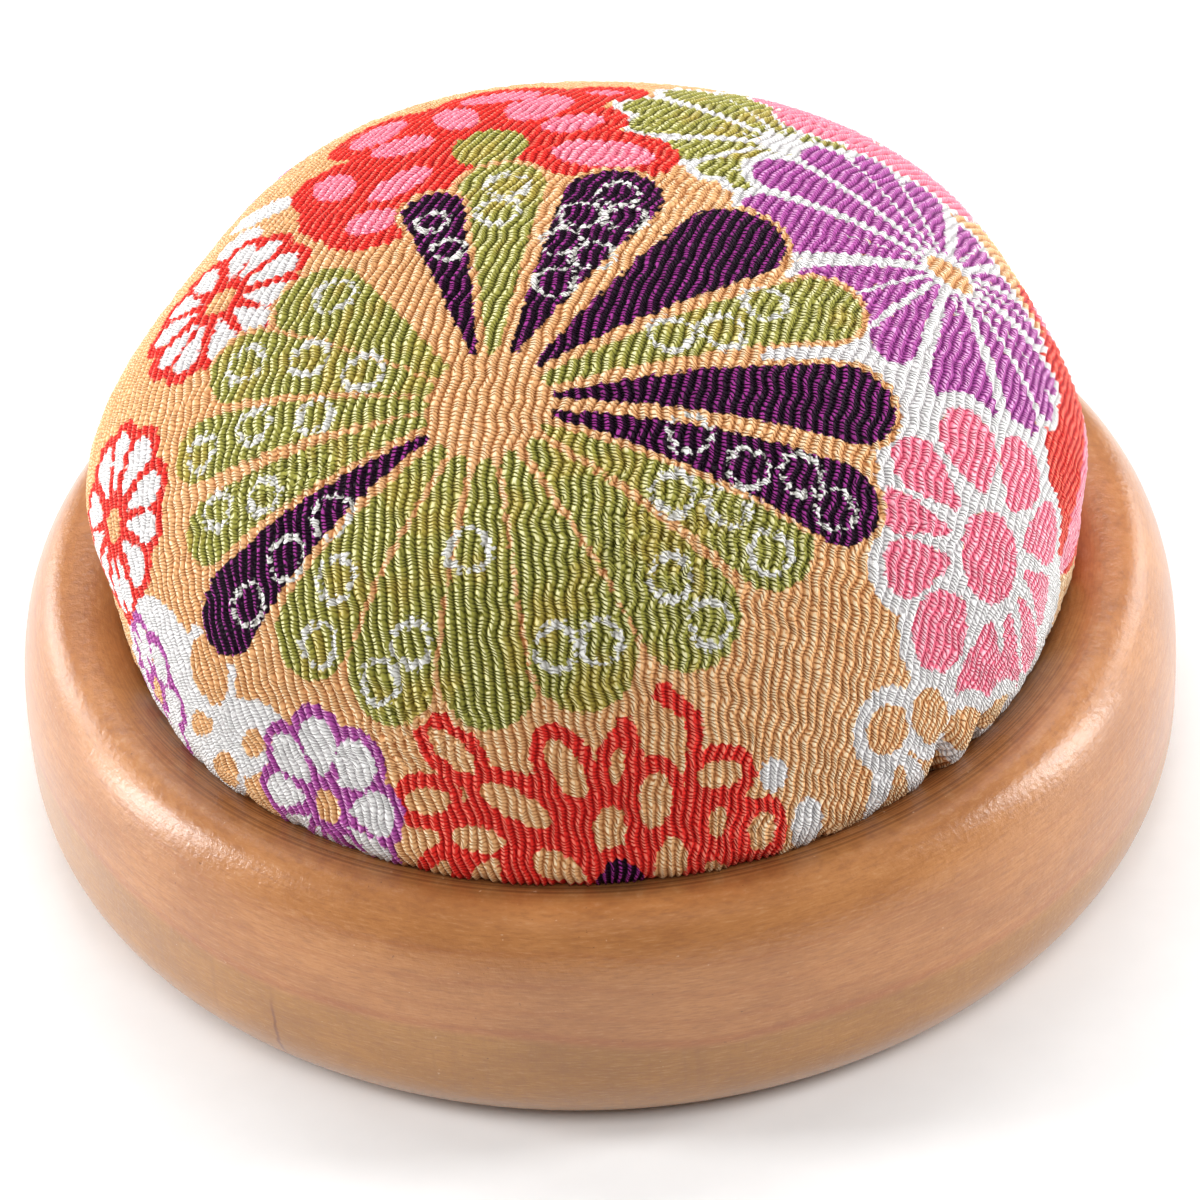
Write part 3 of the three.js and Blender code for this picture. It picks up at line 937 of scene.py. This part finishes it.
def wood_material():
    """Pale reddish hardwood, its growth layers nearly level, under a satin lacquer."""
    m = Nodes("turned_wood")
    place_mm = m.position_mm()
    x, y, z = m.split(place_mm)
    radius = m.math("SQRT", m.plus(m.times(x, x), m.times(y, y)))
    slow = m.noise(place_mm, 0.035, 1.0)
    layer = m.plus(z, m.ramp(slow, 0.2, 0.8, -1.3, 1.3))
    layer = m.plus(layer, m.times(x, 0.014))
    streak = m.noise(m.stretch(place_mm, (0.03, 0.03, 2.2)), 1.0, 3.0, 0.6)
    fine = m.noise(m.stretch(place_mm, (0.9, 0.9, 7.0)), 1.0, 4.0, 0.65)
    cross = m.noise(m.stretch(place_mm, (1.6, 1.6, 0.12)), 1.0, 3.0, 0.6)
    mottle = m.noise(m.stretch(place_mm, (0.12, 0.12, 0.3)), 1.0, 4.0, 0.6)
    lower_wood = m.mix(m.ramp(mottle, 0.25, 0.75), srgb(156, 104, 48), srgb(174, 120, 57))
    lower_wood = m.mix(m.ramp(cross, 0.5, 0.8, 0.0, 0.3), lower_wood, srgb(144, 96, 56))
    upper_wood = m.mix(m.ramp(mottle, 0.25, 0.75), srgb(168, 108, 58), srgb(190, 128, 73))
    colour = m.mix(m.ramp(layer, 8.4, 9.4), lower_wood, upper_wood)
    for height, reach, share in ((9.4, 0.6, 0.4), (11.3, 0.3, 0.2), (13.4, 0.4, 0.2), (15.6, 0.3, 0.2)):
        away = m.math("ABSOLUTE", m.minus(layer, height))
        colour = m.mix(m.ramp(away, reach, 0.05, 0.0, share), colour, srgb(158, 86, 42))
    colour = m.mix(m.ramp(streak, 0.5, 0.8, 0.0, 0.15), colour, srgb(156, 96, 52))
    colour = m.mix(m.ramp(fine, 0.45, 0.72, 0.0, 0.5), colour, srgb(146, 92, 56))
    colour = m.mix(m.ramp(fine, 0.48, 0.25, 0.0, 0.35), colour, srgb(206, 158, 112))
    ring_place = m.node("ShaderNodeCombineXYZ", {0: radius, 1: z}).outputs[0]
    turned = m.noise(m.stretch(ring_place, (5.0, 5.0, 1)), 1.0, 3.0)
    # the inner lip is darker: darker wood in fine turned lines, with painted shade from the cloth's overhang,
    # most of all at the front
    near_front = m.ramp(y, 0.0, -32.0)
    in_from_lip = m.minus(radius, m.times(near_front, 1.3))
    lip = m.times(m.ramp(in_from_lip, 37.9, 35.4), m.ramp(turned, 0.36, 0.66, 0.38, 1.0))
    lip = m.times(lip, m.ramp(near_front, 0.0, 1.0, 0.15, 0.85))
    # painted shade together with the lip's own darker turned lines
    colour = m.mix(lip, colour, srgb(80, 38, 18))
    pores = m.noise(m.stretch(place_mm, (2.2, 2.2, 3.2)), 1.0, 2.0, 0.5)
    colour = m.mix(m.ramp(pores, 0.74, 0.80, 0.0, 0.6), colour, srgb(92, 58, 38))
    colour = m.mix(m.ramp(pores, 0.26, 0.20, 0.0, 0.35), colour, srgb(232, 202, 166))
    bearing = m.plus(m.math("ARCTAN2", y, x), m.times(m.noise(place_mm, 0.8, 2.0), 0.02))
    check = m.ramp(m.math("ABSOLUTE", m.plus(bearing, HAIRLINE_BEARING)), 0.006, 0.001)
    check = m.times(check, m.ramp(z, 9.0, 6.5, 0.0, 0.6))
    colour = m.mix(check, colour, srgb(104, 54, 34))
    peel = m.noise(place_mm, 1.8, 4.0, 0.65)
    height = m.plus(m.times(peel, 0.9), m.times(fine, 0.25))
    normal = m.bump(height, 0.6, 0.1)
    m.set(Base_Color=colour, Roughness=m.ramp(mottle, 0.25, 0.75, 0.4, 0.5), Normal=normal,
          Coat_Normal=normal, Specular_IOR_Level=0.25, Coat_Weight=1.0, Coat_Roughness=0.25)
    return m.material


# ---- the hidden pieces
def stuffing():
    """Packed fibre inside the cover, down to the card, and a little lumpy."""
    inset = CLOTH + 0.45
    base = STUFFING_BASE + 0.05
    reach = length_at(base + 0.3)
    rings, segments = 50, 96
    angle = around(segments)
    vertices = [(0, 0, DOME_TOP - inset)]
    for i in range(1, rings + 1):
        s = reach * i / rings
        flat_x, flat_y = s * np.cos(angle), s * np.sin(angle)
        lump = 0.2 * (ripple(flat_x * 0.8, flat_y * 0.8, 51) - 1.3) + lumps(flat_x, flat_y, s, angle)
        ring = place(np.full(segments, s), angle, lump - inset)
        ring[:, 2] = np.maximum(ring[:, 2], base)
        vertices += ring.tolist()
    faces = [(0, 1 + i, 1 + (i + 1) % segments) for i in range(segments)]
    for k in range(rings - 1):
        for i in range(segments):
            a, b = 1 + k * segments + i, 1 + k * segments + (i + 1) % segments
            faces.append((a, a + segments, b + segments, b))
    vertices.append((0, 0, base))
    last = 1 + (rings - 1) * segments
    faces += [(last + i, len(vertices) - 1, last + (i + 1) % segments) for i in range(segments)]
    piece = mesh_object("packed_fibre", vertices, faces)
    piece.data.materials.append(fibre_material())
    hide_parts("stuffing_core")


def fibre_material():
    m = Nodes("packed_fibre")
    place_mm = m.position_mm()
    strands = m.noise(m.stretch(place_mm, (0.7, 0.7, 4.0)), 1.0, 4.0, 0.65)
    tufts = m.noise(place_mm, 0.4, 3.0)
    colour = m.mix(strands, srgb(226, 223, 214), srgb(250, 248, 242))
    m.set(Base_Color=colour, Roughness=m.ramp(tufts, 0.2, 0.8, 0.85, 1.0), Normal=m.bump(strands, 0.6, 0.3),
          Sheen_Weight=0.3)
    return m.material


def card_material():
    m = Nodes("greyboard")
    place_mm = m.position_mm()
    fibres = m.noise(m.stretch(place_mm, (2.5, 0.5, 2.5)), 1.0, 4.0, 0.7)
    specks = m.noise(place_mm, 1.8, 2.0)
    colour = m.mix(m.ramp(fibres, 0.3, 0.7), srgb(158, 134, 102), srgb(186, 162, 128))
    colour = m.mix(m.ramp(specks, 0.66, 0.74, 0.0, 0.6), colour, srgb(120, 98, 76))
    m.set(Base_Color=colour, Roughness=m.ramp(fibres, 0.2, 0.8, 0.8, 0.95), Normal=m.bump(fibres, 0.4, 0.08))
    return m.material


def thread_material():
    m = Nodes("sewing_thread")
    place_mm = m.position_mm()
    plies = m.noise(m.stretch(place_mm, (6.0, 6.0, 2.0)), 1.0, 2.0)
    colour = m.mix(plies, srgb(222, 214, 196), srgb(250, 246, 234))
    m.set(Base_Color=colour, Roughness=m.ramp(plies, 0.2, 0.8, 0.5, 0.7), Normal=m.bump(plies, 0.6, 0.05))
    return m.material


def glue_material():
    m = Nodes("hot_melt_glue")
    place_mm = m.position_mm()
    flow = m.noise(place_mm, 0.5, 2.0)
    colour = m.mix(flow, srgb(222, 206, 160), srgb(240, 228, 190))
    m.set(Base_Color=colour, Roughness=m.ramp(flow, 0.2, 0.8, 0.25, 0.4), Normal=m.bump(flow, 0.3, 0.2))
    return m.material


def dress_cad_nodes():
    """Better materials on the CAD nodes that stay."""
    for node, material in (
        ("backing_disc", card_material()),
        ("gathering_thread", thread_material()),
        ("glue_bead", glue_material()),
    ):
        holder = bpy.data.objects[node]
        for slot in holder.material_slots:
            slot.material = material


# ---- table, light and camera
def table():
    half, top = 900, -0.05
    corners = [(x * half, y * half, top) for x, y in ((-1, -1), (1, -1), (1, 1), (-1, 1))]
    piece = mesh_object("table_top", corners, [(0, 1, 2, 3)])
    m = Nodes("pale_table")
    paper = m.noise(m.position_mm(), 0.3, 3.0)
    m.set(Base_Color=m.mix(paper, srgb(238, 238, 238), srgb(244, 244, 244)), Roughness=0.6)
    piece.data.materials.append(m.material)


def softbox(name, place_m, size_m, radiance, mirrored=True):
    """A white panel light that faces the dish; radiance is how bright its surface looks."""
    light = bpy.data.lights.new(name, "AREA")
    light.shape = "RECTANGLE"
    light.size, light.size_y = size_m
    light.energy = radiance * math.pi * size_m[0] * size_m[1]
    lamp = bpy.data.objects.new(name, light)
    bpy.context.scene.collection.objects.link(lamp)
    lamp.visible_glossy = mirrored
    lamp.location = place_m
    back = Vector(place_m) - Vector((0, 0, 0.02))
    lamp.rotation_euler = back.to_track_quat("Z", "Y").to_euler()


def lights():
    """White panels to both sides, behind, overhead and in front, in a dim white room."""
    world = bpy.data.worlds.new("white_room")
    bpy.context.scene.world = world
    world.use_nodes = True
    backdrop = world.node_tree.nodes["Background"]
    backdrop.inputs["Color"].default_value = (1, 1, 1, 1)
    backdrop.inputs["Strength"].default_value = 0.15
    softbox("left_softbox", (-0.76, 0.04, 0.30), (0.18, 0.50), 20.0)
    softbox("right_softbox", (0.76, 0.04, 0.30), (0.18, 0.50), 17.0)
    softbox("left_back_softbox", (-0.62, 0.50, 0.30), (0.40, 0.45), 6.0)
    softbox("right_back_softbox", (0.62, 0.50, 0.30), (0.40, 0.45), 4.5)
    softbox("top_softbox", (0.0, 0.35, 0.60), (0.45, 0.30), 4.5)
    softbox("front_softbox", (0.05, -0.46, 0.76), (0.60, 0.35), 5.3, mirrored=False)
    bpy.context.scene.view_settings.view_transform = "Standard"


def camera():
    """Above the front of the dish, looking down at it, rolled a little to the right."""
    distance, elevation, roll = 0.300, math.radians(38.8), math.radians(-3.5)
    target = Vector((0, 0, 0.016))
    back = Vector((0, -math.cos(elevation), math.sin(elevation)))
    right, up = Vector((1, 0, 0)), Vector((0, math.sin(elevation), math.cos(elevation)))
    right, up = right * math.cos(roll) + up * math.sin(roll), up * math.cos(roll) - right * math.sin(roll)
    data = bpy.data.cameras.new("camera")
    data.lens, data.sensor_width = 123.0, 36.0
    data.shift_x, data.shift_y = 0.0045, -0.031
    data.clip_start, data.clip_end = 0.01, 10
    holder = bpy.data.objects.new("camera", data)
    bpy.context.scene.collection.objects.link(holder)
    turn = Matrix((right, up, back)).transposed()
    holder.matrix_world = Matrix.Translation(target + back * distance) @ turn.to_4x4()
    bpy.context.scene.camera = holder


camera()
lights()
table()
wood_dish()
cushion_cover()
stuffing()
dress_cad_nodes()
